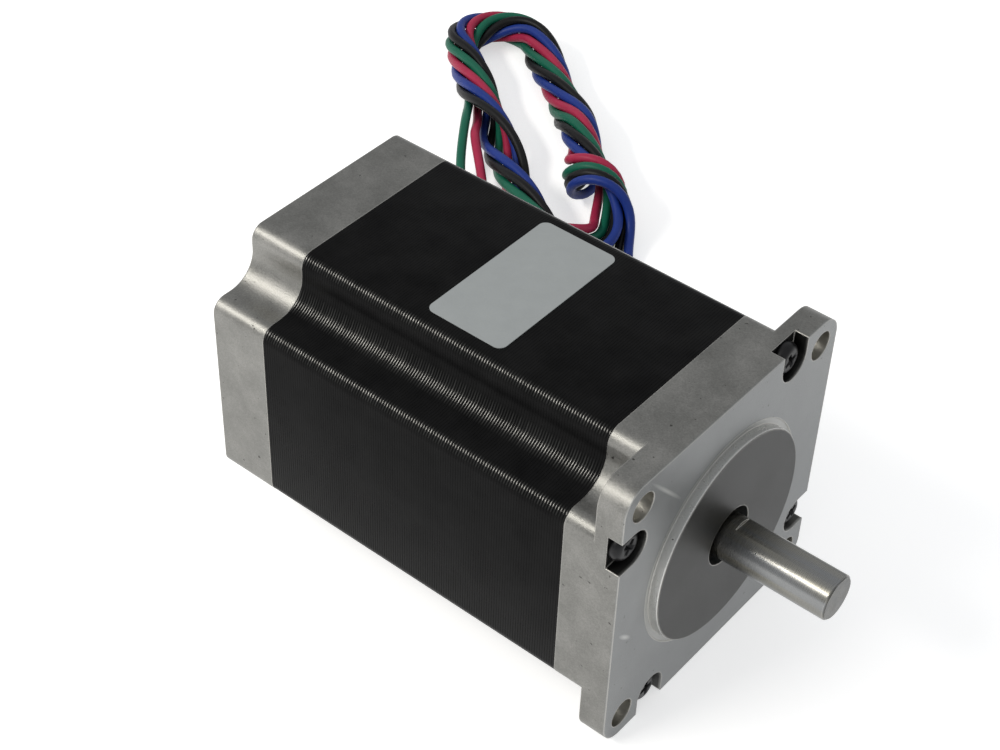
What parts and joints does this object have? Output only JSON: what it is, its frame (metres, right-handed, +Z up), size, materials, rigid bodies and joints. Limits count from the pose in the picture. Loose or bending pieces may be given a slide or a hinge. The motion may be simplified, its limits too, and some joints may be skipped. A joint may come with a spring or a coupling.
{
  "type": "stepper motor",
  "caption": "Two-phase hybrid stepper motor: square laminated body between cast caps, flange with corner holes, pilot, flatted shaft, coloured leads twisted in a ring",
  "frame": {"origin": "on the shaft axis, at the centre of the mounting face", "axes": "+X out of the mounting face along the shaft, +Z up with the motor lying on its flat -Z side, +Y the side where the leads come out"},
  "size_m": [0.1735, 0.1542, 0.0565],
  "materials": {
    "cast_cap": "die-cast aluminium, fine matt grain",
    "black_laminations": "stacked steel sheets, painted black, satin, with bare bright sheet edges on the shoulders",
    "insulator_plastic": "moulded plastic, off-white",
    "copper_wire": "enamelled copper wire",
    "black_screw": "black oxide",
    "bearing_steel": "ground bearing steel",
    "shield_steel": "pressed sheet steel",
    "grommet_rubber": "moulded black rubber",
    "sleeve_plastic": "shrunk-on sleeve",
    "label_foil": "bare silver-grey foil, satin",
    "shaft_steel": "ground steel with a milled flat",
    "rotor_laminations": "ground steel sheets, toothed",
    "magnet": "plated magnet disc",
    "spacer_brass": "turned brass",
    "ball_steel": "polished steel balls",
    "cage_brass": "pressed brass",
    "red_insulation": "soft red insulation, satin",
    "green_insulation": "soft green insulation, satin",
    "black_insulation": "soft black insulation, satin",
    "blue_insulation": "soft blue insulation, satin"
  },
  "bodies": {
    "housing": {"front_end_cap": "cast_cap", "rear_end_cap": "cast_cap", "stator_stack": "black_laminations", "front_winding_insulator": "insulator_plastic", "rear_winding_insulator": "insulator_plastic", "phase_a_windings": "copper_wire", "phase_b_windings": "copper_wire", "assembly_screws": "black_screw", "front_bearing_outer_race": "bearing_steel", "front_bearing_shields": "shield_steel", "rear_bearing_outer_race": "bearing_steel", "rear_bearing_shields": "shield_steel", "wave_spring": "shield_steel", "lead_grommet": "grommet_rubber", "lead_splice_sleeves": "sleeve_plastic", "rating_label": "label_foil", "red_lead": "red_insulation", "green_lead": "green_insulation", "black_lead": "black_insulation", "blue_lead": "blue_insulation", "red_lead_coil": "red_insulation", "green_lead_coil": "green_insulation", "black_lead_coil": "black_insulation", "blue_lead_coil": "blue_insulation"},
    "rotor": {"motor_shaft": "shaft_steel", "rotor_cup_1": "rotor_laminations", "rotor_cup_2": "rotor_laminations", "rotor_cup_3": "rotor_laminations", "rotor_cup_4": "rotor_laminations", "rotor_magnet_1": "magnet", "rotor_magnet_2": "magnet", "rotor_spacer": "spacer_brass", "front_bearing_inner_race": "bearing_steel", "rear_bearing_inner_race": "bearing_steel"},
    "front_ball_set": {"front_bearing_balls": "ball_steel", "front_bearing_cage": "cage_brass"},
    "rear_ball_set": {"rear_bearing_balls": "ball_steel", "rear_bearing_cage": "cage_brass"}
  },
  "joints": [
    {"name": "rotor_spin", "type": "hinge", "parent": "housing", "child": "rotor", "pos_m": [0, 0, 0], "axis": [1, 0, 0], "continuous": true},
    {"name": "front_ball_orbit", "type": "hinge", "parent": "housing", "child": "front_ball_set", "pos_m": [-0.0055, 0, 0], "axis": [1, 0, 0], "continuous": true},
    {"name": "rear_ball_orbit", "type": "hinge", "parent": "housing", "child": "rear_ball_set", "pos_m": [-0.0772, 0, 0], "axis": [1, 0, 0], "continuous": true}
  ],
  "couplings": [
    {"joint": "front_ball_orbit", "follows": "rotor_spin", "ratio": 0.368},
    {"joint": "rear_ball_orbit", "follows": "rotor_spin", "ratio": 0.368}
  ]
}
